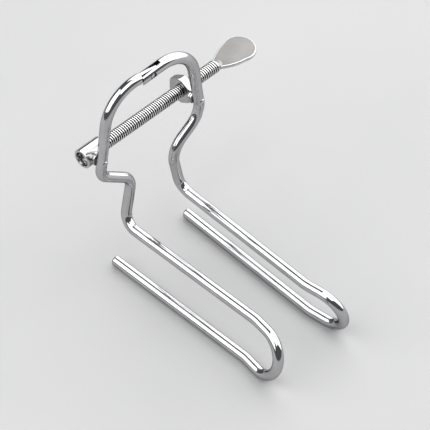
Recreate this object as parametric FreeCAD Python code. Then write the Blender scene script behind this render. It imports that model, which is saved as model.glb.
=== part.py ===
import FreeCAD, Part
import math
import os

# Screw-spread wire cheek retractor. Millimetres, +Z up, +X towards the thumb paddle, the blades run towards -Y.
# The origin is on the plane that the lower blade wires rest on, straight below the hinge pin.

# Wire
WIRE_D = 3.4
BOW_RIGHT_D = 3.8
TIP_CHAMFER = 0.5

# Arm centreline, right-hand side (the left arm mirrors it); heights are above the rest plane
HINGE_Z = 70.9
SHOULDER_X = 16.0
SHOULDER_Z = HINGE_Z + 1.6
CRANK_OUT_X = 20.4
CRANK_OUT_Z = HINGE_Z - 28.5
CRANK_IN_X = 8.2
CRANK_IN_Z = HINGE_Z - 37.3
HEEL_X = 11.6
UPPER_Z = HINGE_Z - 54.4
LOWER_Z = WIRE_D / 2
UPPER_BEND_X = 10.3
UPPER_BEND_Y = -56.4
LOWER_BEND_X = 13.7
LOWER_BEND_Y = -55.6
TIP_X = 15.0
TIP_Y = 1.3
END_Y = -69.0
END_FLARE = 0.14

# Bend radii of the two arms, which are bent by hand and differ a little
SHOULDER_R = 12.3
CRANK_OUT_R = {-1: 4.2, 1: 8.5}
CRANK_IN_R = {-1: 6.0, 1: 8.5}
HEEL_R = {-1: 5.0, 1: 4.5}
FLARE_R = 14.0

# Thicker stretch of the right bow
TAPER_START_Z = HINGE_Z - 12.5
TAPER_END_Z = HINGE_Z - 18.5

# Hinge; its pin and the two studs are parallel and square to the screw, so they are turned by YAW
YAW = 2.7
PIN_D = 1.2
PIN_PROUD = 0.12
FORK_REACH = 3.6
SLOT_WIDTH = 1.25
SLOT_DEPTH = 4.2
TONGUE_WIDTH = 1.05
TONGUE_REACH = 2.5
SHOULDER_GAP = 0.12
PIN_CLEARANCE = 0.05

# Screw line. Its own axes: U along the screw to the paddle, V rearwards, +Z up, from a point on its axis
SCREW_Z = HINGE_Z - 23.1
SCREW_BACK = 6.0
THREAD_D = 4.17
THREAD_START_U = -14.6
THREAD_END_U = 34.1
JOURNAL_D = 3.0
JOURNAL_END_U = -21.8
BORE_CLEARANCE = 0.06

# Sleeve
SLEEVE_D = 6.3
SLEEVE_LEFT_U = -22.9
SLEEVE_RIGHT_U = -14.7
SLEEVE_BORE_D = 4.8
SLEEVE_WEB_U = -19.9
RING_D = 4.4
RING_WIDTH = 1.2
EDGE_BREAK = 0.15

# Nut
NUT_FLATS = 8.4
NUT_LEFT_U = 18.4
NUT_HEX_WIDTH = 2.6
NUT_COLLAR_D = 5.6
NUT_COLLAR_WIDTH = 1.0

# Swivel studs, one through each wire at the height of the screw
STUD_D = 1.7
STUD_HEAD_D = 2.0
STUD_HEAD_PROUD = 0.35
STUD_COLLAR_D = 4.2
STUD_DEPTH = 0.6
SEAT_FLAT = 1.5
SEAT_GAP = 0.05
SEAT_D = 4.7
FRONT_SEAT_D = 2.3

# Thumb paddle
PADDLE_THICK = 1.3
PADDLE_NECK = 3.2
PADDLE_R = 5.25
PADDLE_CENTRE_U = 44.8
PADDLE_TILT = 4.5
PADDLE_BEVEL = 0.3
TANG_WIDTH = 3.0
TANG_LENGTH = 2.8

X_AXIS = FreeCAD.Vector(1, 0, 0)
Y_AXIS = FreeCAD.Vector(0, 1, 0)
Z_AXIS = FreeCAD.Vector(0, 0, 1)
HINGE = FreeCAD.Vector(0, 0, HINGE_Z)
ARM_RISE = math.atan2(SHOULDER_Z - HINGE_Z, SHOULDER_X)
SIN_YAW = math.sin(math.radians(YAW))
COS_YAW = math.cos(math.radians(YAW))
PIN_AXIS = FreeCAD.Vector(-SIN_YAW, COS_YAW, 0)


def vec(x, y, z):
    return FreeCAD.Vector(x, y, z)


def bend(before, corner, after, radius):
    """The two tangent points and the middle point of the arc that rounds a corner."""
    to_before = (before - corner).normalize()
    to_after = (after - corner).normalize()
    half = to_before.getAngle(to_after) / 2
    reach = radius / math.tan(half)
    bisector = (to_before + to_after).normalize()
    middle = corner + bisector * (radius / math.sin(half) - radius)
    return corner + to_before * reach, middle, corner + to_after * reach


def rounded_path(points, radii):
    """A wire of straight runs joined by tangent arcs; radii has one value for each inner point."""
    edges = []
    last = points[0]
    for i, radius in enumerate(radii, start=1):
        start, middle, end = bend(points[i - 1], points[i], points[i + 1], radius)
        if (start - last).Length > 1e-4:
            edges.append(Part.makeLine(last, start))
        edges.append(Part.Arc(start, middle, end).toShape())
        last = end
    edges.append(Part.makeLine(last, points[-1]))
    return Part.Wire(edges)


def round_bar(points, radii, diameter):
    path = rounded_path(points, radii)
    along = points[1] - points[0]
    profile = Part.Wire([Part.makeCircle(diameter / 2, points[0], along)])
    bar = path.makePipeShell([profile], True, False)
    if not bar.isValid() or bar.Volume < 0.98 * path.Length * math.pi * diameter**2 / 4:
        raise RuntimeError("the bar's sweep is not sound")
    return bar


def cylinder_u(u_from, u_to, diameter):
    """A cylinder along the screw, in the screw line's axes."""
    return Part.makeCylinder(diameter / 2, u_to - u_from, vec(u_from, 0, 0), X_AXIS)


def cylinder_v(u, v_from, v_to, diameter):
    """A cylinder square to the screw, in the screw line's axes."""
    return Part.makeCylinder(diameter / 2, v_to - v_from, vec(u, v_from, 0), Y_AXIS)


def place(shape):
    """Moves a shape from the screw line's axes to the row's."""
    shape.rotate(vec(0, 0, 0), Z_AXIS, YAW)
    shape.translate(PIN_AXIS * SCREW_BACK + vec(0, 0, SCREW_Z))
    return shape


def hinge_cylinder(radius, half_length):
    return Part.makeCylinder(radius, 2 * half_length, HINGE - PIN_AXIS * half_length, PIN_AXIS)


def bow_x(height):
    """X of the right arm's centreline on the straight stretch from the shoulder to the crank."""
    share = (SHOULDER_Z - height) / (SHOULDER_Z - CRANK_OUT_Z)
    return SHOULDER_X + share * (CRANK_OUT_X - SHOULDER_X)


STUD_X = bow_x(SCREW_Z)
STUD_U = STUD_X * COS_YAW


def wire_v(side):
    """V of the wire's centre at its stud."""
    return -side * STUD_X * SIN_YAW - SCREW_BACK


def blade_points(side):
    """Centreline from the crank to the free tip of the hairpin blade."""
    flare_upper = END_FLARE * (UPPER_BEND_Y - END_Y)
    flare_lower = END_FLARE * (LOWER_BEND_Y - END_Y)
    return [
        vec(side * CRANK_OUT_X, 0, CRANK_OUT_Z),
        vec(side * CRANK_IN_X, 0, CRANK_IN_Z),
        vec(side * HEEL_X, 0, UPPER_Z),
        vec(side * UPPER_BEND_X, UPPER_BEND_Y, UPPER_Z),
        vec(side * (UPPER_BEND_X + flare_upper), END_Y, UPPER_Z),
        vec(side * (LOWER_BEND_X + flare_lower), END_Y, LOWER_Z),
        vec(side * LOWER_BEND_X, LOWER_BEND_Y, LOWER_Z),
        vec(side * TIP_X, TIP_Y, LOWER_Z),
    ]


def blade_radii(side):
    points = blade_points(side)
    turn = 0.499 * (points[5] - points[4]).Length
    return [CRANK_OUT_R[side], CRANK_IN_R[side], HEEL_R[side], FLARE_R, turn, turn, FLARE_R]


def along_arm(side, distance):
    """A point at a distance from the hinge along the arm's first straight stretch."""
    return HINGE + vec(side * math.cos(ARM_RISE), 0, math.sin(ARM_RISE)) * distance


def finish_tip(arm, side):
    tip = vec(side * TIP_X, TIP_Y, LOWER_Z)
    rims = [e for e in arm.Edges if (e.CenterOfMass - tip).Length < 0.05]
    return arm.makeChamfer(TIP_CHAMFER, rims)


def cut_stud_seat(arm, side):
    """Two spot faces and the swivel hole for the stud."""
    u = side * STUD_U
    v = wire_v(side)
    hole = cylinder_v(u, v - 5, v + 5, STUD_D + 2 * PIN_CLEARANCE)
    rear = cylinder_v(u, v + SEAT_FLAT, v + 4, SEAT_D)
    front = cylinder_v(u, v - 4, v - SEAT_FLAT, FRONT_SEAT_D)
    return arm.cut([place(hole), place(rear), place(front)])


def make_left_arm():
    points = [along_arm(-1, -TONGUE_REACH), vec(-SHOULDER_X, 0, SHOULDER_Z)] + blade_points(-1)
    wire = round_bar(points, [SHOULDER_R] + blade_radii(-1), WIRE_D)
    wire = finish_tip(wire, -1)
    corner = math.hypot(FORK_REACH, BOW_RIGHT_D / 2)
    slab = Part.makeBox(12, TONGUE_WIDTH, 12, vec(-6, -TONGUE_WIDTH / 2, -6))
    slab.rotate(vec(0, 0, 0), Z_AXIS, YAW)
    slab.translate(HINGE)
    tongue = wire.common(slab)
    body = wire.cut(hinge_cylinder(corner + SHOULDER_GAP, 5))
    arm = body.fuse(tongue).removeSplitter()
    arm = arm.cut(hinge_cylinder(PIN_D / 2 + PIN_CLEARANCE, 5))
    return cut_stud_seat(arm, -1)


def make_right_arm():
    thick_end = vec(bow_x(TAPER_START_Z), 0, TAPER_START_Z)
    thin_start = vec(bow_x(TAPER_END_Z), 0, TAPER_END_Z)
    shoulder = vec(SHOULDER_X, 0, SHOULDER_Z)
    thick = round_bar([along_arm(1, -FORK_REACH), shoulder, thick_end], [SHOULDER_R], BOW_RIGHT_D)
    drop = thin_start - thick_end
    taper = Part.makeCone(BOW_RIGHT_D / 2, WIRE_D / 2, drop.Length, thick_end, drop)
    thin = round_bar([thin_start] + blade_points(1), blade_radii(1), WIRE_D)
    thin = finish_tip(thin, 1)
    arm = thick.fuse([taper, thin]).removeSplitter()
    slot = Part.makeBox(8 + SLOT_DEPTH, SLOT_WIDTH, 8, vec(-8, -SLOT_WIDTH / 2, -4))
    slot.rotate(vec(0, 0, 0), Y_AXIS, -math.degrees(ARM_RISE))
    slot.rotate(vec(0, 0, 0), Z_AXIS, YAW)
    slot.translate(HINGE)
    arm = arm.cut([slot, hinge_cylinder(PIN_D / 2, 5)])
    return cut_stud_seat(arm, 1)


def make_hinge_pin():
    half = BOW_RIGHT_D / 2 + PIN_PROUD
    pin = Part.makeCylinder(PIN_D / 2, 2 * half, vec(0, -half, 0), Y_AXIS)
    rims = [e for e in pin.Edges if abs(abs(e.CenterOfMass.y) - half) < 1e-3]
    pin = pin.makeFillet(0.2, rims)
    pin.rotate(vec(0, 0, 0), Z_AXIS, YAW)
    pin.translate(HINGE)
    return pin


def circular_edges(shape):
    return [e for e in shape.Edges if len(e.Vertexes) == 1]


def make_end_sleeve():
    tube = cylinder_u(SLEEVE_LEFT_U, SLEEVE_RIGHT_U, SLEEVE_D)
    tube = tube.makeChamfer(EDGE_BREAK, circular_edges(tube))
    mouth = cylinder_u(SLEEVE_LEFT_U - 1, SLEEVE_WEB_U, SLEEVE_BORE_D)
    web = cylinder_u(SLEEVE_WEB_U - 1, SLEEVE_RIGHT_U + 1, JOURNAL_D + 2 * BORE_CLEARANCE)
    stud_hole = cylinder_v(-STUD_U, -SLEEVE_D, -SLEEVE_D / 2 + STUD_DEPTH, STUD_D)
    return place(tube.cut([mouth, web, stud_hole]))


def make_drive_nut():
    corner = NUT_FLATS / math.sqrt(3)
    hexagon = []
    for i in range(7):
        angle = math.radians(30 + 60 * i)
        hexagon.append(vec(NUT_LEFT_U, corner * math.cos(angle), corner * math.sin(angle)))
    block = Part.Face(Part.makePolygon(hexagon)).extrude(X_AXIS * NUT_HEX_WIDTH)
    bevel = cylinder_u(NUT_LEFT_U, NUT_LEFT_U + NUT_HEX_WIDTH, NUT_FLATS + 1.5)
    bevel = bevel.makeChamfer(0.5, circular_edges(bevel))
    collar_start = NUT_LEFT_U + NUT_HEX_WIDTH
    collar = cylinder_u(collar_start, collar_start + NUT_COLLAR_WIDTH, NUT_COLLAR_D)
    nut = block.common(bevel).fuse(collar).removeSplitter()
    bore = cylinder_u(NUT_LEFT_U - 1, collar_start + 3, THREAD_D + 2 * BORE_CLEARANCE)
    stud_hole = cylinder_v(STUD_U, -NUT_FLATS, -NUT_FLATS / 2 + STUD_DEPTH, STUD_D)
    return place(nut.cut([bore, stud_hole]))


def make_stud(side, shank_end):
    """Shank through the wire and a peened head in front of it."""
    u = side * STUD_U
    head_back = wire_v(side) - SEAT_FLAT - SEAT_GAP
    shank = cylinder_v(u, head_back, shank_end, STUD_D)
    head = cylinder_v(u, head_back - STUD_HEAD_PROUD, head_back, STUD_HEAD_D)
    front = [e for e in head.Edges if abs(e.CenterOfMass.y - head_back + STUD_HEAD_PROUD) < 1e-3]
    head = head.makeFillet(STUD_HEAD_PROUD * 0.8, front)
    return shank.fuse(head)


def make_sleeve_stud():
    stud = make_stud(-1, -SLEEVE_D / 2 + STUD_DEPTH)
    collar = cylinder_v(-STUD_U, wire_v(-1) + SEAT_FLAT + SEAT_GAP, 0, STUD_COLLAR_D)
    collar = collar.cut(cylinder_u(SLEEVE_LEFT_U - 5, SLEEVE_RIGHT_U + 5, SLEEVE_D))
    return place(stud.fuse(collar).removeSplitter())


def make_nut_stud():
    flat_v = -NUT_FLATS / 2
    stud = make_stud(1, flat_v + STUD_DEPTH)
    collar = cylinder_v(STUD_U, wire_v(1) + SEAT_FLAT + SEAT_GAP, flat_v, STUD_COLLAR_D)
    return place(stud.fuse(collar).removeSplitter())


def make_screw_rod():
    thread = cylinder_u(THREAD_START_U, THREAD_END_U, THREAD_D)
    thread = thread.makeChamfer(0.4, circular_edges(thread))
    journal = cylinder_u(JOURNAL_END_U, THREAD_START_U + 1, JOURNAL_D)
    ends = [e for e in journal.Edges if abs(e.CenterOfMass.x - JOURNAL_END_U) < 1e-3]
    journal = journal.makeFillet(0.4, ends)
    rod = thread.fuse(journal).removeSplitter()
    slot = Part.makeBox(TANG_LENGTH + 1, THREAD_D + 2, PADDLE_THICK)
    slot.translate(vec(THREAD_END_U - TANG_LENGTH, -THREAD_D / 2 - 1, -PADDLE_THICK / 2))
    slot.rotate(vec(0, 0, 0), X_AXIS, PADDLE_TILT)
    return place(rod.cut(slot))


def make_end_ring():
    ring_end = SLEEVE_WEB_U - 0.1
    ring = cylinder_u(ring_end - RING_WIDTH, ring_end, RING_D)
    ring = ring.makeChamfer(0.2, circular_edges(ring))
    return place(ring.cut(cylinder_u(ring_end - 3, ring_end + 1, JOURNAL_D)))


def make_thumb_paddle():
    """A teardrop leaf: a round end, two tangent sides and a tang in the rod's slot."""
    z = -PADDLE_THICK / 2
    half_neck = PADDLE_NECK / 2
    run = PADDLE_CENTRE_U - THREAD_END_U
    lean = math.asin(PADDLE_R / math.hypot(run, half_neck)) - math.atan2(half_neck, run)
    touch_u = PADDLE_CENTRE_U - PADDLE_R * math.sin(lean)
    touch_v = PADDLE_R * math.cos(lean)
    neck_front = vec(THREAD_END_U, -half_neck, z)
    touch_front = vec(touch_u, -touch_v, z)
    far = vec(PADDLE_CENTRE_U + PADDLE_R, 0, z)
    touch_rear = vec(touch_u, touch_v, z)
    neck_rear = vec(THREAD_END_U, half_neck, z)
    edges = [
        Part.makeLine(neck_front, touch_front),
        Part.Arc(touch_front, far, touch_rear).toShape(),
        Part.makeLine(touch_rear, neck_rear),
        Part.makeLine(neck_rear, neck_front),
    ]
    leaf = Part.Face(Part.Wire(edges)).extrude(Z_AXIS * PADDLE_THICK)
    rims = [e for e in leaf.Edges if e.BoundBox.ZLength < 1e-3 and e.CenterOfMass.x > THREAD_END_U + 0.1]
    leaf = leaf.makeChamfer(PADDLE_BEVEL, rims)
    tang = Part.makeBox(TANG_LENGTH + 0.5, TANG_WIDTH, PADDLE_THICK)
    tang.translate(vec(THREAD_END_U - TANG_LENGTH, -TANG_WIDTH / 2, z))
    paddle = leaf.fuse(tang).removeSplitter()
    paddle.rotate(vec(0, 0, 0), X_AXIS, PADDLE_TILT)
    return place(paddle)


MAKERS = {
    "left_arm": make_left_arm,
    "right_arm": make_right_arm,
    "hinge_pin": make_hinge_pin,
    "end_sleeve": make_end_sleeve,
    "sleeve_stud": make_sleeve_stud,
    "drive_nut": make_drive_nut,
    "nut_stud": make_nut_stud,
    "screw_rod": make_screw_rod,
    "end_ring": make_end_ring,
    "thumb_paddle": make_thumb_paddle,
}


def main():
    os.makedirs("parts", exist_ok=True)
    for name, maker in MAKERS.items():
        shape = maker()
        solids = shape.Solids
        if len(solids) != 1 or not shape.isValid():
            raise RuntimeError(f"{name} has {len(solids)} solids, valid {shape.isValid()}")
        solids[0].exportStep(f"parts/{name}.step")
        box = shape.BoundBox
        print(f"{name}: {box.XLength:.2f} x {box.YLength:.2f} x {box.ZLength:.2f} mm, {shape.Volume:.1f} mm3")


main()
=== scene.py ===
import math

import bmesh
import bpy
from mathutils import Matrix, Vector


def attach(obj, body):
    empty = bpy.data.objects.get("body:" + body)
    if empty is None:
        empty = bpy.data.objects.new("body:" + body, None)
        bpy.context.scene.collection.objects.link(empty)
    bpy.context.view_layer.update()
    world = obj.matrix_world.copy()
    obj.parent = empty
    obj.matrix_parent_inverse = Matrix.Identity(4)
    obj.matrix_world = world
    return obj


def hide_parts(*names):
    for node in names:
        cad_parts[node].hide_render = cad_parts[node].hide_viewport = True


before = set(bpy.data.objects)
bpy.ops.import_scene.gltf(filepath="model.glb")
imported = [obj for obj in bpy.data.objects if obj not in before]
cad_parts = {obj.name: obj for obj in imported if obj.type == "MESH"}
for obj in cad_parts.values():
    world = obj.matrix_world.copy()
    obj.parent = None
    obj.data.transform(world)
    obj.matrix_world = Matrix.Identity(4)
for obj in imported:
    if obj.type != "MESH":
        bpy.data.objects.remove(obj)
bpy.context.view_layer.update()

MM = 0.001

# The screw line, as in the CAD: U along the screw, V rearwards, Z up, turned by YAW
YAW = math.radians(2.7)
SCREW_BACK = 6.0
SCREW_Z = 47.8
THREAD_D = 4.17
THREAD_PITCH = 0.794
THREAD_DEPTH = 0.5
THREAD_ROOT_SHARE = 0.30
THREAD_FLANK_SHARE = 0.44
THREAD_START_U = -14.6
THREAD_END_U = 34.1
JOURNAL_D = 3.0
JOURNAL_END_U = -21.8
PADDLE_R = 5.25
PADDLE_CENTRE_U = 44.8
PADDLE_HALF_NECK = 1.6
PADDLE_THICK = 1.3
PADDLE_TILT = math.radians(4.5)
TANG_LENGTH = 2.8
TANG_HALF_WIDTH = 1.5
LEAF_BULGE_REAR = 0.42
LEAF_BULGE_FRONT = 0.62
NECK_LENGTH = 2.9

# Arm centreline in millimetres, as in the CAD
WIRE_R = 1.7
THICK_R = 1.9
HINGE_Z = 70.9
SHOULDER = (16.0, HINGE_Z + 1.6)
CRANK_OUT = (20.4, HINGE_Z - 28.5)
CRANK_IN = (8.2, HINGE_Z - 37.3)
HEEL_X = 11.6
UPPER_Z = HINGE_Z - 54.4
UPPER_BEND = (10.3, -56.4)
LOWER_BEND = (13.7, -55.6)
TIP = (15.0, 1.3)
END_Y = -69.0
END_FLARE = 0.14
SHOULDER_R = 12.3
CRANK_OUT_R = {-1: 4.2, 1: 8.5}
CRANK_IN_R = {-1: 6.0, 1: 8.5}
HEEL_R = {-1: 5.0, 1: 4.5}
FLARE_R = 14.0
TAPER_Z = (HINGE_Z - 12.5, HINGE_Z - 18.5)
TIP_ROUND = 0.8
SKIN = 0.004  # the drawn skin lies this far inside the nominal wire
WIRE_SIDES = 64
PIN_R = 0.6
PIN_PLAY = 0.05
SPOT_FACE_R = 1.13
SPOT_FACE_V = -1.42
RELIEF_GAP = 0.3
FORK_REACH = 3.6
SLOT_WIDTH = 1.5
SLOT_DEPTH = 4.2
TONGUE_WIDTH = 0.95
TONGUE_REACH = 2.5
ARM_RISE = math.atan2(SHOULDER[1] - HINGE_Z, SHOULDER[0])

# Swivel studs, measured from the wire's centre
STUD_FACE_V = 1.55
STUD_SHANK_R = 0.85
STUD_COLLAR_R = 2.1
STUD_BODY_V = {-1: -2.42, 1: -4.2}
SEAT_V = 1.5
SEAT_REAR_R = 2.35
SEAT_FRONT_R = 1.15
STUD_HOLE_R = 0.9

PIN_AXIS = Vector((-math.sin(YAW), math.cos(YAW), 0))
LINE = Matrix.Translation((PIN_AXIS * SCREW_BACK + Vector((0, 0, SCREW_Z))) * MM)
LINE = LINE @ Matrix.Rotation(YAW, 4, "Z") @ Matrix.Scale(MM, 4)


# ---------------------------------------------------------------- materials

class Nodes:
    """A short way to build a node tree."""

    def __init__(self, name):
        self.material = bpy.data.materials.new(name)
        self.material.use_nodes = True
        self.tree = self.material.node_tree
        self.tree.nodes.clear()
        self.coords = self.add("ShaderNodeTexCoord")
        self.shader = self.add("ShaderNodeBsdfPrincipled")
        out = self.add("ShaderNodeOutputMaterial")
        self.link(self.shader.outputs["BSDF"], out.inputs["Surface"])

    def add(self, kind, **values):
        node = self.tree.nodes.new(kind)
        for key, value in values.items():
            setattr(node, key, value)
        return node

    def link(self, a, b):
        self.tree.links.new(a, b)

    def position(self, scale=(1, 1, 1), turn=(0, 0, 0)):
        """Object coordinates in millimetres, turned and stretched."""
        node = self.add("ShaderNodeMapping", vector_type="TEXTURE")
        node.inputs["Rotation"].default_value = turn
        node.inputs["Scale"].default_value = [MM / s for s in scale]
        self.link(self.coords.outputs["Object"], node.inputs["Vector"])
        return node.outputs["Vector"]

    def drawn(self):
        """Coordinates that run along a drawn wire: round it in millimetres, and far slower along it."""
        parts = self.add("ShaderNodeSeparateXYZ")
        self.link(self.coords.outputs["UV"], parts.inputs[0])
        joined = self.add("ShaderNodeCombineXYZ")
        for i, operation in enumerate(("COSINE", "SINE")):
            turned = self.maths(operation, parts.outputs["Y"], 0)
            self.link(self.maths("MULTIPLY", turned, WIRE_R), joined.inputs[i])
        self.link(self.maths("MULTIPLY", parts.outputs["X"], 0.04), joined.inputs[2])
        return joined.outputs[0]

    def noise(self, vector, scale, detail=3.0, rough=0.55):
        node = self.add("ShaderNodeTexNoise")
        node.inputs["Scale"].default_value = scale
        node.inputs["Detail"].default_value = detail
        node.inputs["Roughness"].default_value = rough
        self.link(vector, node.inputs["Vector"])
        return node.outputs["Fac"]

    def ranged(self, value, low, high, to_low, to_high):
        node = self.add("ShaderNodeMapRange")
        for name, number in (("From Min", low), ("From Max", high), ("To Min", to_low), ("To Max", to_high)):
            node.inputs[name].default_value = number
        self.link(value, node.inputs["Value"])
        return node.outputs["Result"]

    def maths(self, operation, a, b):
        node = self.add("ShaderNodeMath", operation=operation)
        for socket, value in zip(node.inputs, (a, b)):
            if isinstance(value, (int, float)):
                socket.default_value = value
            else:
                self.link(value, socket)
        return node.outputs[0]

    def blend(self, factor, a, b):
        node = self.add("ShaderNodeMix", data_type="RGBA")
        self.link(factor, node.inputs[0])
        for socket, value in ((node.inputs[6], a), (node.inputs[7], b)):
            if isinstance(value, tuple):
                socket.default_value = (*value, 1)
            else:
                self.link(value, socket)
        return node.outputs[2]

    def bump(self, height, distance, strength=1.0, before=None):
        node = self.add("ShaderNodeBump")
        node.inputs["Strength"].default_value = strength
        node.inputs["Distance"].default_value = distance
        self.link(height, node.inputs["Height"])
        if before:
            self.link(before, node.inputs["Normal"])
        return node.outputs["Normal"]


def polished_steel(name, light, dark, gloss=(0.05, 0.13), wave=0.05, along=(1, 1, 1), turn=(0, 0, 0)):
    """Buffed stainless steel: faint buffing lines, haze, small nicks and an uneven hand-bent surface."""
    n = Nodes(name)
    haze = n.noise(n.position(), 0.16, 4)
    lines = n.noise(n.drawn() if along is None else n.position(along, turn), 5.0, 5, 0.7)
    nicks = n.noise(n.position(), 1.9, 6, 0.8)
    tone = n.blend(n.ranged(haze, 0.35, 0.68, 0, 1), light, dark)
    tone = n.blend(n.ranged(lines, 0.5, 0.75, 0, 0.6), tone, tuple(0.8 * c for c in dark))
    spots = n.ranged(nicks, 0.66, 0.74, 0, 1)
    tone = n.blend(spots, tone, tuple(0.82 * c for c in dark))
    n.link(tone, n.shader.inputs["Base Color"])
    n.shader.inputs["Metallic"].default_value = 1.0
    n.shader.inputs["Specular Tint"].default_value = (0.55, 0.55, 0.56, 1)
    rough = n.ranged(haze, 0.3, 0.75, *gloss)
    rough = n.maths("ADD", rough, n.ranged(lines, 0.45, 0.85, 0, 0.10))
    rough = n.maths("ADD", rough, n.maths("MULTIPLY", spots, 0.12))
    n.link(rough, n.shader.inputs["Roughness"])
    waves = n.noise(n.position(), 0.22, 1.5)
    normal = n.bump(waves, wave * MM)
    normal = n.bump(lines, 0.003 * MM, 0.6, normal)
    normal = n.bump(n.ranged(nicks, 0.6, 0.76, 1, 0), 0.012 * MM, 0.6, normal)
    n.link(normal, n.shader.inputs["Normal"])
    return n.material


def thread_steel(name):
    """Cut thread: the crests are painted bright as a highlight and the flanks and roots are painted dark as
    shade, with a little trapped grime.
    """
    n = Nodes(name)
    to_line = n.position((1, 1, 1))
    shift = n.add("ShaderNodeVectorMath", operation="SUBTRACT")
    n.link(to_line, shift.inputs[0])
    shift.inputs[1].default_value = tuple(PIN_AXIS * SCREW_BACK + Vector((0, 0, SCREW_Z)))
    axis = (math.cos(YAW), math.sin(YAW), 0)
    cross = n.add("ShaderNodeVectorMath", operation="CROSS_PRODUCT")
    n.link(shift.outputs[0], cross.inputs[0])
    cross.inputs[1].default_value = axis
    length = n.add("ShaderNodeVectorMath", operation="LENGTH")
    n.link(cross.outputs[0], length.inputs[0])
    radius = length.outputs["Value"]
    # crest goes from 0 in the flanks and roots to 1 on the crests; it carries the painted highlight and
    # shade as well as the roughness
    crest = n.ranged(radius, THREAD_D / 2 - 0.17, THREAD_D / 2 - 0.03, 0, 1)
    dirt = n.noise(n.position(), 0.5, 4)
    # painted shade and highlight: near-black flanks and roots, near-white crests
    tone = n.blend(crest, (0.008, 0.008, 0.008), (0.92, 0.92, 0.91))
    tone = n.blend(n.ranged(dirt, 0.5, 0.8, 0, 0.35), tone, (0.12, 0.115, 0.11))
    n.link(tone, n.shader.inputs["Base Color"])
    n.shader.inputs["Metallic"].default_value = 1.0
    n.shader.inputs["Specular Tint"].default_value = (0.15, 0.15, 0.15, 1)
    rough = n.ranged(crest, 0, 1, 0.32, 0.14)
    rough = n.maths("ADD", rough, n.ranged(dirt, 0.4, 0.8, 0, 0.12))
    n.link(rough, n.shader.inputs["Roughness"])
    grain = n.noise(n.position(), 7.0, 3)
    n.link(n.bump(grain, 0.006 * MM, 0.5), n.shader.inputs["Normal"])
    return n.material


def satin_steel(name):
    """Fine-blasted leaf: even satin grey with faint finger haze and rubs."""
    n = Nodes(name)
    haze = n.noise(n.position(), 0.12, 3)
    grain = n.noise(n.position(), 9.0, 4, 0.7)
    rubs = n.noise(n.position((0.25, 3.0, 1.0), (0, 0, YAW)), 1.6, 4, 0.7)
    tone = n.blend(n.ranged(haze, 0.35, 0.7, 0, 1), (0.22, 0.217, 0.21), (0.19, 0.187, 0.181))
    tone = n.blend(n.ranged(grain, 0.35, 0.7, 0, 0.35), tone, (0.25, 0.247, 0.24))
    n.link(tone, n.shader.inputs["Base Color"])
    n.shader.inputs["Metallic"].default_value = 1.0
    rough = n.ranged(haze, 0.3, 0.7, 0.50, 0.57)
    rough = n.maths("ADD", rough, n.ranged(rubs, 0.5, 0.8, 0, -0.10))
    n.link(rough, n.shader.inputs["Roughness"])
    normal = n.bump(grain, 0.010 * MM, 0.5)
    normal = n.bump(rubs, 0.006 * MM, 0.4, normal)
    n.link(normal, n.shader.inputs["Normal"])
    return n.material


def floor_material():
    """Matt pale paper with a faint cloud and grain."""
    n = Nodes("pale_floor")
    cloud = n.noise(n.position(), 0.008, 3)
    grain = n.noise(n.position(), 1.2, 3)
    tone = n.blend(n.ranged(cloud, 0.3, 0.7, 0, 1), (0.375, 0.375, 0.373), (0.35, 0.35, 0.35))
    n.link(tone, n.shader.inputs["Base Color"])
    n.link(n.ranged(grain, 0.3, 0.7, 0.62, 0.74), n.shader.inputs["Roughness"])
    n.link(n.bump(grain, 0.02 * MM, 0.4), n.shader.inputs["Normal"])
    return n.material


BRIGHT = (0.52, 0.52, 0.53)
SHADE = (0.45, 0.45, 0.46)
MATERIALS = {
    "left_wire": polished_steel("left_wire_steel", BRIGHT, SHADE, (0.04, 0.09), 0.012, None),
    "right_wire": polished_steel("right_wire_steel", BRIGHT, SHADE, (0.05, 0.10), 0.014, None),
    "pivot": polished_steel("pivot_steel_worn", (0.58, 0.58, 0.58), (0.44, 0.44, 0.45), (0.12, 0.24), 0.01),
    # machined hinge faces: rougher milled steel, and painted shade: the near-black colour paints the shade
    # in the slot, the relief and the spot face between the parts
    "machined_and_shaded": polished_steel(
        "machined_hinge_steel_painted_shade", (0.13, 0.13, 0.13), (0.07, 0.07, 0.07), (0.28, 0.42), 0.01, (4, 4, 0.4)
    ),
    "sleeve": polished_steel(
        "turned_sleeve_steel", (0.56, 0.555, 0.55), (0.48, 0.48, 0.48), (0.10, 0.20), 0.01,
        (6, 0.3, 0.3), (0, 0, YAW),
    ),
    "nut": polished_steel(
        "nut_flat_steel", (0.46, 0.46, 0.46), (0.38, 0.38, 0.385), (0.10, 0.20), 0.01,
        (0.4, 5, 5), (0, 0, YAW),
    ),
    "thread": thread_steel("cut_thread_steel"),
    "leaf": satin_steel("satin_leaf_steel"),
    "braze": polished_steel(
        "brazed_neck_steel", (0.34, 0.34, 0.33), (0.27, 0.27, 0.265), (0.34, 0.46), 0.01
    ),
    "rim": polished_steel(
        "polished_rim_steel", (0.62, 0.62, 0.61), (0.54, 0.54, 0.535), (0.14, 0.22), 0.005
    ),
}

# The CAD nodes that are shown as they are
NODE_MATERIAL = {
    "end_sleeve": "sleeve",
    "drive_nut": "nut",
    "end_ring": "pivot",
}


def smooth(mesh, angle):
    """Smooth shading, with the edges sharper than the angle kept sharp."""
    mesh.polygons.foreach_set("use_smooth", [True] * len(mesh.polygons))
    mesh.set_sharp_from_angle(angle=math.radians(angle))


for node, key in NODE_MATERIAL.items():
    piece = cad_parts[node]
    for slot in piece.material_slots:
        slot.material = MATERIALS[key]


# ---------------------------------------------------------------- pieces

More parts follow.
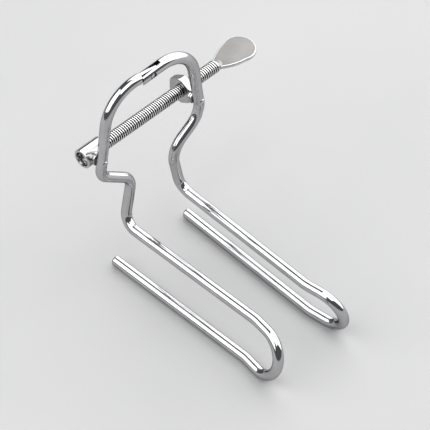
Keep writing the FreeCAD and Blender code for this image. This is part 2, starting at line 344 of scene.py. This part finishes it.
def new_piece(name, bm, materials, body, node):
    """A piece drawn in the screw's own frame, in place of one CAD node."""
    mesh = bpy.data.meshes.new(name)
    bmesh.ops.recalc_face_normals(bm, faces=bm.faces)
    bm.transform(LINE)
    bm.to_mesh(mesh)
    bm.free()
    for material in materials:
        mesh.materials.append(material)
    piece = bpy.data.objects.new(name, mesh)
    bpy.context.scene.collection.objects.link(piece)
    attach(piece, body)
    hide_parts(node)
    return piece


def ramp(value, start, end):
    """0 before start, 1 after end, smooth between."""
    share = min(1.0, max(0.0, (value - start) / (end - start)))
    return share * share * (3 - 2 * share)


def bridge_rings(bm, rings):
    """Faces between neighbouring rings; a ring of one vertex closes an end."""
    for a, b in zip(rings, rings[1:]):
        around = max(len(a), len(b))
        for j in range(around):
            k = (j + 1) % around
            if len(a) == 1:
                bm.faces.new((a[0], b[j], b[k]))
            elif len(b) == 1:
                bm.faces.new((a[j], b[0], a[k]))
            else:
                bm.faces.new((a[j], b[j], b[k], a[k]))


def thread_radius(u, angle):
    """The thread's surface: rounded crests and roots, run out at both ends."""
    phase = (u / THREAD_PITCH - angle / (2 * math.pi)) % 1.0
    height = abs(2 * phase - 1)
    height = min(1.0, max(0.0, (height - THREAD_ROOT_SHARE) / THREAD_FLANK_SHARE))
    height = height * height * (3 - 2 * height)
    start = ramp(u, THREAD_START_U + 0.15, THREAD_START_U + 0.9)
    end = 1 - ramp(u, THREAD_END_U - 0.6, THREAD_END_U - 0.25)
    depth = THREAD_DEPTH * start * end
    return THREAD_D / 2 - 0.01 - depth * (1 - height)


def make_threaded_rod():
    """The rod with its real thread, the plain journal, and a rounded end that the leaf is set into."""
    journal_r = JOURNAL_D / 2
    journal = [
        (JOURNAL_END_U, 0.0), (JOURNAL_END_U, 0.9), (JOURNAL_END_U + 0.04, 1.2), (JOURNAL_END_U + 0.2, 1.42),
        (JOURNAL_END_U + 0.45, journal_r), (THREAD_START_U - 0.02, journal_r), (THREAD_START_U, 1.55),
        (THREAD_START_U, 1.7), (THREAD_START_U + 0.12, 1.95),
    ]
    start = THREAD_START_U + 0.2
    step = THREAD_PITCH / 14
    count = int((THREAD_END_U - 0.27 - start) / step)
    thread = [(start + i * step, None) for i in range(count + 1)]
    rounded = ((-0.2, 1.98), (-0.1, 1.9), (-0.03, 1.78), (0.0, 1.6), (0.0, 0.0))
    end = [(THREAD_END_U + u, r) for u, r in rounded]
    bm = bmesh.new()
    around = 72
    rings = []
    for u, r in journal + thread + end:
        if r == 0.0:
            rings.append([bm.verts.new((u, 0, 0))])
            continue
        ring = []
        for j in range(around):
            angle = 2 * math.pi * j / around
            radius = r if r else thread_radius(u, angle)
            ring.append(bm.verts.new((u, radius * math.cos(angle), radius * math.sin(angle))))
        rings.append(ring)
    bridge_rings(bm, rings)
    for face in bm.faces:
        u = face.calc_center_median().x
        face.material_index = int(u < THREAD_START_U or u > THREAD_END_U - 0.16)
    skins = [MATERIALS["thread"], MATERIALS["pivot"]]
    piece = new_piece("threaded_rod", bm, skins, "screw", "screw_rod")
    smooth(piece.data, 50)


def leaf_side(bulge):
    """One side of the leaf from the neck to the tip, as (U, half width)."""
    run = PADDLE_CENTRE_U - THREAD_END_U
    lean = math.asin(PADDLE_R / math.hypot(run, PADDLE_HALF_NECK)) - math.atan2(PADDLE_HALF_NECK, run)
    touch_u = PADDLE_CENTRE_U - PADDLE_R * math.sin(lean)
    touch_w = PADDLE_R * math.cos(lean)
    points = []
    for i in range(26):
        t = i / 26
        width = PADDLE_HALF_NECK + t * (touch_w - PADDLE_HALF_NECK) + bulge * math.sin(math.pi * t)
        points.append((THREAD_END_U + t * (touch_u - THREAD_END_U), width))
    for i in range(40):
        angle = math.pi / 2 + lean - i / 39 * (math.pi / 2 + lean)
        points.append((PADDLE_CENTRE_U + PADDLE_R * math.cos(angle), PADDLE_R * math.sin(angle)))
    return points


def add_leaf(bm):
    """The flat teardrop with its tang and a rounded rim."""
    tang = [(THREAD_END_U - TANG_LENGTH, TANG_HALF_WIDTH), (THREAD_END_U - 0.4, TANG_HALF_WIDTH)]
    rear = tang + leaf_side(LEAF_BULGE_REAR)
    front = tang + leaf_side(LEAF_BULGE_FRONT)
    outline = rear + [(u, -w) for u, w in reversed(front[:-1])]
    count = len(outline)
    inward = []
    for i in range(count):
        a, b = Vector(outline[i - 1]), Vector(outline[(i + 1) % count])
        along = (b - a).normalized()
        inward.append(Vector((along.y, -along.x)))
    half = PADDLE_THICK / 2
    rim = [(0.0, 0.0), (0.01, half - 0.37), (0.05, half - 0.21), (0.13, half - 0.09), (0.24, half - 0.03)]
    rim.append((0.36, half))
    rings = []
    for side in (1, -1):
        for inset, height in (rim if side == 1 else rim[1:]):
            ring = []
            for (u, w), normal in zip(outline, inward):
                p = Vector((u, w)) + normal * inset
                ring.append(bm.verts.new((p.x, p.y, side * height)))
            rings.append(ring)
    upper, lower = rings[:len(rim)], rings[:1] + rings[len(rim):]
    for stack in (upper, lower):
        for a, b in zip(stack, stack[1:]):
            for i in range(count):
                k = (i + 1) % count
                face = bm.faces.new((a[i], a[k], b[k], b[i]))
                face.material_index = 1
        bm.faces.new(stack[-1])


def add_neck(bm):
    """The brazed fillet that runs from the rod's end down to the faces of the leaf."""
    steps = 12
    around = 40
    rings = []
    for i in range(steps + 1):
        t = i / steps
        height = 1.86 - 1.3 * math.sin(math.pi / 2 * t) ** 1.2
        half_width = 1.84 + 0.1 * t
        ring = []
        for j in range(around):
            angle = 2 * math.pi * j / around
            w = half_width * math.cos(angle) - 0.12 * t
            ring.append(bm.verts.new((THREAD_END_U - 0.05 + NECK_LENGTH * t, w, height * math.sin(angle))))
        rings.append(ring)
    for a, b in zip(rings, rings[1:]):
        for j in range(around):
            k = (j + 1) % around
            bm.faces.new((a[j], a[k], b[k], b[j])).material_index = 2
    for ring in (rings[0], rings[-1]):
        bm.faces.new(ring).material_index = 2


def make_leaf():
    """The satin leaf with its polished rim and brazed neck."""
    bm = bmesh.new()
    add_leaf(bm)
    add_neck(bm)
    bmesh.ops.rotate(bm, verts=bm.verts, cent=(0, 0, 0), matrix=Matrix.Rotation(PADDLE_TILT, 3, "X"))
    skins = [MATERIALS["leaf"], MATERIALS["rim"], MATERIALS["braze"]]
    piece = new_piece("leaf", bm, skins, "screw", "thumb_paddle")
    smooth(piece.data, 40)


make_threaded_rod()
make_leaf()


# ---------------------------------------------------------------- wire arms

def along_arm(side, distance):
    """A point on the straight run beside the hinge, which rises a little towards the shoulder."""
    return Vector((side * math.cos(ARM_RISE) * distance, 0, HINGE_Z + math.sin(ARM_RISE) * distance))


def arm_corners(side):
    """The arm's centreline corners from the hinge to the free tip, and the bend radius at each inner one."""
    reach = TONGUE_REACH if side < 0 else FORK_REACH
    upper_end = UPPER_BEND[0] + END_FLARE * (UPPER_BEND[1] - END_Y)
    lower_end = LOWER_BEND[0] + END_FLARE * (LOWER_BEND[1] - END_Y)
    rest = [
        (SHOULDER[0], 0, SHOULDER[1]),
        (CRANK_OUT[0], 0, CRANK_OUT[1]),
        (CRANK_IN[0], 0, CRANK_IN[1]),
        (HEEL_X, 0, UPPER_Z),
        (UPPER_BEND[0], UPPER_BEND[1], UPPER_Z),
        (upper_end, END_Y, UPPER_Z),
        (lower_end, END_Y, WIRE_R),
        (LOWER_BEND[0], LOWER_BEND[1], WIRE_R),
        (TIP[0], TIP[1], WIRE_R),
    ]
    corners = [along_arm(side, -reach)] + [Vector((side * x, y, z)) for x, y, z in rest]
    turn = 0.499 * (corners[7] - corners[6]).length
    radii = [SHOULDER_R, CRANK_OUT_R[side], CRANK_IN_R[side], HEEL_R[side], FLARE_R, turn, turn, FLARE_R]
    return corners, radii


def centreline(corners, radii):
    """Closely spaced points along straight runs joined by tangent arcs."""
    points = [corners[0]]

    def run_to(end):
        start = points[-1]
        count = max(1, int((end - start).length / 0.9))
        for i in range(1, count + 1):
            points.append(start.lerp(end, i / count))

    for before, corner, after, radius in zip(corners, corners[1:], corners[2:], radii):
        to_before = (before - corner).normalized()
        to_after = (after - corner).normalized()
        half = to_before.angle(to_after) / 2
        start = corner + to_before * (radius / math.tan(half))
        centre = corner + (to_before + to_after).normalized() * (radius / math.sin(half))
        run_to(start)
        axis = to_before.cross(to_after).normalized()
        swing = math.pi - 2 * half
        count = max(6, int(radius * swing / 0.45))
        arm = start - centre
        for i in range(1, count + 1):
            points.append(centre + Matrix.Rotation(-swing * i / count, 3, axis) @ arm)
    run_to(corners[-1])
    return points


def wire_radius(side, point):
    """The right bow half is thicker, and tapers to the common wire above the crank."""
    if side < 0 or point.y < -0.1 or point.z < TAPER_Z[1]:
        return WIRE_R
    share = max(0.0, (point.z - TAPER_Z[1]) / (TAPER_Z[0] - TAPER_Z[1]))
    return WIRE_R + (THICK_R - WIRE_R) * min(1.0, share)


def sweep(side, marks):
    """The whole wire as one closed skin. Each mark is a dent: (place, direction it faces, size, depth)."""
    centres = centreline(*arm_corners(side))
    rows = []
    for i, point in enumerate(centres):
        tangent = (centres[min(i + 1, len(centres) - 1)] - centres[max(i - 1, 0)]).normalized()
        rows.append((point, tangent, wire_radius(side, point) - SKIN))
    tip, tangent, radius = rows[-1]
    rows = [row for row in rows if (row[0] - tip).length > TIP_ROUND + 0.2]
    for i in range(9):
        angle = math.pi / 2 * i / 8
        back = TIP_ROUND * (1 - math.sin(angle))
        rows.append((tip - tangent * back, tangent, radius - TIP_ROUND * (1 - math.cos(angle))))
    bm = bmesh.new()
    rings = []
    lengths = []
    last = rows[0][0]
    across = Vector((0, 1, 0))
    for point, tangent, radius in rows:
        lengths.append((lengths[-1] if lengths else 0.0) + (point - last).length)
        last = point
        across = (across - tangent * across.dot(tangent)).normalized()
        other = tangent.cross(across)
        ring = []
        for j in range(WIRE_SIDES):
            angle = 2 * math.pi * j / WIRE_SIDES
            out = across * math.cos(angle) + other * math.sin(angle)
            place = point + out * radius
            dent = 0.0
            for spot, facing, size, depth in marks:
                gap = place - spot
                if gap.length < 3 * size:
                    dent += depth * math.exp(-(gap.length / size) ** 2) * max(0.0, out.dot(facing))
            ring.append(bm.verts.new(place - out * dent))
        rings.append(ring)
    drawn = bm.loops.layers.uv.new("drawn")
    for a, b, start, end in zip(rings, rings[1:], lengths, lengths[1:]):
        for j in range(WIRE_SIDES):
            k = (j + 1) % WIRE_SIDES
            face = bm.faces.new((a[j], a[k], b[k], b[j]))
            turns = (j, j + 1, j + 1, j)
            for loop, length, turn in zip(face.loops, (start, start, end, end), turns):
                loop[drawn].uv = (length, 2 * math.pi * turn / WIRE_SIDES)
    for ring in (rings[0], rings[-1]):
        bm.faces.new(ring)
    bmesh.ops.recalc_face_normals(bm, faces=bm.faces)
    bm.transform(Matrix.Scale(MM, 4))
    return bm


def as_object(name, bm):
    mesh = bpy.data.meshes.new(name)
    bm.to_mesh(mesh)
    bm.free()
    item = bpy.data.objects.new(name, mesh)
    bpy.context.scene.collection.objects.link(item)
    return item


def cylinder(name, radius, start, end, around=64):
    """A closed cylinder between two points in metres."""
    bm = bmesh.new()
    depth = (end - start).length
    bmesh.ops.create_cone(bm, cap_ends=True, segments=around, radius1=radius, radius2=radius, depth=depth)
    turn = (end - start).to_track_quat("Z", "Y").to_matrix().to_4x4()
    bm.transform(Matrix.Translation((start + end) / 2) @ turn)
    return as_object(name, bm)


def block(name, size, matrix):
    """A box of the given size in millimetres, placed by a matrix in millimetres."""
    bm = bmesh.new()
    bmesh.ops.create_cube(bm, size=1.0)
    bm.transform(Matrix.Scale(MM, 4) @ matrix @ Matrix.Diagonal((*size, 1)))
    return as_object(name, bm)


def combine(item, tool, operation):
    """Applies a boolean with the tool, then removes the tool."""
    change = item.modifiers.new("cut", "BOOLEAN")
    change.operation = operation
    change.solver = "EXACT"
    change.object = tool
    graph = bpy.context.evaluated_depsgraph_get()
    result = bpy.data.meshes.new_from_object(item.evaluated_get(graph))
    item.modifiers.clear()
    old = item.data
    item.data = result
    bpy.data.meshes.remove(old)
    bpy.data.objects.remove(tool)


def line_cylinder(name, u, v_from, v_to, radius):
    """A cylinder square to the screw."""
    return cylinder(name, radius * MM, LINE @ Vector((u, v_from, 0)), LINE @ Vector((u, v_to, 0)))


def pin_cylinder(name, radius):
    """A cylinder round the hinge pin's axis."""
    hinge = Vector((0, 0, HINGE_Z)) * MM
    return cylinder(name, radius * MM, hinge - PIN_AXIS * 5 * MM, hinge + PIN_AXIS * 5 * MM, 96)


def stud_place(side):
    """U and V of the wire's centre at the height of the screw."""
    share = (SHOULDER[1] - SCREW_Z) / (SHOULDER[1] - CRANK_OUT[1])
    x = SHOULDER[0] + share * (CRANK_OUT[0] - SHOULDER[0])
    return side * x * math.cos(YAW), -side * x * math.sin(YAW) - SCREW_BACK


def cut_seat(item, side):
    """Flat seats on the wire's rear and front for the stud's collar and head, and the stud's hole."""
    u, v = stud_place(side)
    combine(item, line_cylinder("seat_rear", u, v + SEAT_V, v + 4, SEAT_REAR_R), "DIFFERENCE")
    combine(item, line_cylinder("seat_front", u, v - 4, v - SEAT_V, SEAT_FRONT_R), "DIFFERENCE")
    combine(item, line_cylinder("stud_hole", u, v - 5, v + 5, STUD_HOLE_R), "DIFFERENCE")


def finish_arm(item, material, body, node, is_machined_or_shaded):
    """Polished skin, with the cut faces at the hinge left as milled steel and painted near black as shade.

    The face test takes a face's normal, its place along the pin, and its distance from the pin's axis; the
    faces it picks get the milled steel with painted shade.
    """
    item.data.materials.clear()
    item.data.materials.append(material)
    # the second material is the milled steel with painted shade, near black, for the cut faces at the hinge
    item.data.materials.append(MATERIALS["machined_and_shaded"])
    for face in item.data.polygons:
        offset = face.center / MM - Vector((0, 0, HINGE_Z))
        along = offset.dot(PIN_AXIS)
        reach = (offset - PIN_AXIS * along).length
        face.material_index = 1 if is_machined_or_shaded(face.normal, along, reach) else 0
    smooth(item.data, 35)
    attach(item, body)
    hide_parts(node)


def dent(side, x, y, z, facing, size, depth):
    """A plier dent near a point of the arm, in millimetres, on the side of the wire that faces that way."""
    return (Vector((side * x, y, z)), Vector(facing).normalized(), size, depth)


def make_left_wire():
    """The left wire, relieved round the hinge so that only its flat tongue enters the fork."""
    marks = [
        dent(-1, 18.4, -1.7, 57.5, (0.1, -1, 0.2), 1.0, 0.10),
        dent(-1, 11.3, -0.6, 18.8, (-0.7, -0.5, 0.6), 0.9, 0.10),
        dent(-1, 10.3, -1.8, 17.9, (0.5, 0.1, 1), 0.7, 0.09),
        dent(-1, 18.0, -1.5, 43.6, (0.6, -1, 0.4), 0.8, 0.10),
    ]
    item = as_object("left_wire", sweep(-1, marks))
    copy = bpy.data.objects.new("tongue", item.data.copy())
    bpy.context.scene.collection.objects.link(copy)
    corner = math.hypot(FORK_REACH, THICK_R) + RELIEF_GAP
    combine(item, pin_cylinder("hinge_relief", corner), "DIFFERENCE")
    turn = Matrix.Translation((0, 0, HINGE_Z)) @ Matrix.Rotation(YAW, 4, "Z")
    combine(copy, block("slab", (12, TONGUE_WIDTH, 12), turn), "INTERSECT")
    combine(item, copy, "UNION")
    combine(item, pin_cylinder("pin_hole", PIN_R + PIN_PLAY), "DIFFERENCE")
    cut_seat(item, -1)

    # faces on the relief and the tongue's flat sides get the milled steel with near-black painted shade
    def is_machined_or_shaded(normal, along, reach):
        on_relief = abs(reach - corner) < 0.05
        return on_relief or (reach < corner and abs(normal.dot(PIN_AXIS)) > 0.999)

    finish_arm(item, MATERIALS["left_wire"], "left_frame", "left_arm", is_machined_or_shaded)


def make_right_wire():
    """The right wire, with a slot down its thick end for the tongue and a spot face for the pin's head."""
    marks = [
        dent(1, 20.3, -1.6, 43.2, (0.6, -1, 0.2), 1.0, 0.10),
        dent(1, 18.4, -1.4, 40.4, (-0.3, -1, 0.8), 0.9, 0.10),
        dent(1, 9.6, -1.5, 31.5, (-0.6, -1, 0.1), 1.0, 0.10),
        dent(1, 11.2, -0.9, 18.4, (-0.5, -0.6, 0.8), 0.8, 0.10),
    ]
    item = as_object("right_wire", sweep(1, marks))
    place = Matrix.Translation((0, 0, HINGE_Z)) @ Matrix.Rotation(YAW, 4, "Z")
    place = place @ Matrix.Rotation(-ARM_RISE, 4, "Y") @ Matrix.Translation(((SLOT_DEPTH - 8) / 2, 0, 0))
    slot_line = place.to_3x3() @ Vector((1, 0, 0))
    combine(item, block("slot", (8 + SLOT_DEPTH, SLOT_WIDTH, 8), place), "DIFFERENCE")
    combine(item, pin_cylinder("pin_seat", PIN_R), "DIFFERENCE")
    hinge = Vector((0, 0, HINGE_Z)) * MM
    spot_floor = hinge + PIN_AXIS * SPOT_FACE_V * MM
    spot = cylinder("spot_face", SPOT_FACE_R * MM, hinge - PIN_AXIS * 5 * MM, spot_floor)
    combine(item, spot, "DIFFERENCE")
    cut_seat(item, 1)

    # the slot walls, the spot face and the fork's end face get the milled steel with near-black painted
    # shade
    def is_machined_or_shaded(normal, along, reach):
        flat = abs(normal.dot(PIN_AXIS)) > 0.999
        on_wall = flat and reach < 7 and abs(along) < SLOT_WIDTH / 2 + 0.01
        on_spot = flat and reach < SPOT_FACE_R and along < -SLOT_WIDTH / 2 - 0.01
        return on_wall or on_spot or abs(normal.dot(slot_line)) > 0.999

    finish_arm(item, MATERIALS["right_wire"], "right_frame", "right_arm", is_machined_or_shaded)


def lathe(name, profile, u, z, body, node):
    """A turned piece whose axis is square to the screw; the profile is (V, radius) from front to rear."""
    bm = bmesh.new()
    rings = []
    for v, radius in profile:
        ring = []
        for j in range(1 if radius == 0.0 else 64):
            angle = 2 * math.pi * j / 64
            ring.append(bm.verts.new((u + radius * math.cos(angle), v, z + radius * math.sin(angle))))
        rings.append(ring)
    bridge_rings(bm, rings)
    piece = new_piece(name, bm, [MATERIALS["pivot"]], body, node)
    smooth(piece.data, 35)


def make_stud(name, side, body, node):
    """Domed head in front of the wire, shank through it, and a grooved collar up to the sleeve or nut."""
    u, v = stud_place(side)
    head = v - STUD_FACE_V
    seat = v + STUD_FACE_V
    end = STUD_BODY_V[side]
    neck_r = STUD_COLLAR_R - 0.05
    profile = [
        (head - 0.35, 0.0), (head - 0.34, 0.35), (head - 0.28, 0.62), (head - 0.18, 0.83),
        (head - 0.06, 0.96), (head, 1.0), (head, STUD_SHANK_R), (seat, STUD_SHANK_R),
        (seat, 2.02), (seat + 0.06, STUD_COLLAR_R), (seat + 0.44, STUD_COLLAR_R), (seat + 0.5, 2.04),
        (seat + 0.5, 1.7), (seat + 0.72, 1.7), (seat + 0.72, 1.96), (seat + 0.8, neck_r),
        (end, neck_r), (end, 0.0),
    ]
    lathe(name, profile, u, 0.0, body, node)


def make_pin():
    """The hinge pin with its flat front head sunk in the spot face."""
    profile = [
        (-1.64, 0.0), (-1.63, 0.45), (-1.6, 0.62), (-1.54, 0.7), (-1.44, 0.72), (-1.44, PIN_R),
        (1.9, PIN_R), (1.98, 0.5), (2.0, 0.3), (2.0, 0.0),
    ]
    profile = [(v - SCREW_BACK, radius) for v, radius in profile]
    lathe("hinge_pin_headed", profile, 0.0, HINGE_Z - SCREW_Z, "right_frame", "hinge_pin")


make_left_wire()
make_right_wire()
make_stud("sleeve_swivel_stud", -1, "sleeve", "sleeve_stud")
make_stud("nut_swivel_stud", 1, "nut", "nut_stud")
make_pin()


# ---------------------------------------------------------------- stage, lights, camera

def make_floor():
    bm = bmesh.new()
    bmesh.ops.create_grid(bm, x_segments=8, y_segments=8, size=4.0)
    mesh = bpy.data.meshes.new("floor")
    bm.to_mesh(mesh)
    bm.free()
    mesh.materials.append(floor_material())
    floor = bpy.data.objects.new("floor", mesh)
    bpy.context.scene.collection.objects.link(floor)
    floor.location.z = -0.00005


def area_light(name, place, aim, width, length, power, colour=(1, 1, 1)):
    """A softbox facing the aim point; its length runs as nearly as possible along Y."""
    data = bpy.data.lights.new(name, "AREA")
    data.shape = "RECTANGLE"
    data.size = width
    data.size_y = length
    data.energy = power
    data.color = colour
    light = bpy.data.objects.new(name, data)
    light.location = place
    light.rotation_mode = "QUATERNION"
    back = (Vector(place) - Vector(aim)).normalized()
    across = Vector((0, 1, 0)).cross(back).normalized()
    light.rotation_quaternion = Matrix((across, back.cross(across), back)).transposed().to_quaternion()
    bpy.context.scene.collection.objects.link(light)


make_floor()
AIM = (0, -0.03, 0.03)
area_light("right_softbox", (0.728, 0.04, 0.536), AIM, 1.31, 2.3, 26.0)
area_light("left_softbox", (-0.62, 0.22, 0.62), AIM, 0.92, 1.2, 10.5)
area_light("front_softbox", (-0.02, -0.32, 0.95), AIM, 0.66, 0.86, 5.4)

world = bpy.data.worlds.new("studio")
world.use_nodes = True
world.node_tree.nodes["Background"].inputs["Color"].default_value = (0.93, 0.96, 1.0, 1)
world.node_tree.nodes["Background"].inputs["Strength"].default_value = 0.14
bpy.context.scene.world = world
bpy.context.scene.view_settings.view_transform = "Standard"

CAMERA_AZIMUTH = math.radians(-43.50)
CAMERA_ELEVATION = math.radians(45.44)
CAMERA_TARGET = Vector((-4.01, -32.07, 38.24)) * MM
CAMERA_DISTANCE = 0.7738
back = Vector((
    math.sin(CAMERA_AZIMUTH) * math.cos(CAMERA_ELEVATION),
    -math.cos(CAMERA_AZIMUTH) * math.cos(CAMERA_ELEVATION),
    math.sin(CAMERA_ELEVATION),
))
camera_data = bpy.data.cameras.new("camera")
camera_data.sensor_width = 36.0
camera_data.lens = 220.0
camera_data.clip_start = 0.01
camera_data.clip_end = 50.0
camera = bpy.data.objects.new("camera", camera_data)
camera.location = CAMERA_TARGET + back * CAMERA_DISTANCE
camera.rotation_mode = "QUATERNION"
camera.rotation_quaternion = (-back).to_track_quat("-Z", "Y")
bpy.context.scene.collection.objects.link(camera)
bpy.context.scene.camera = camera
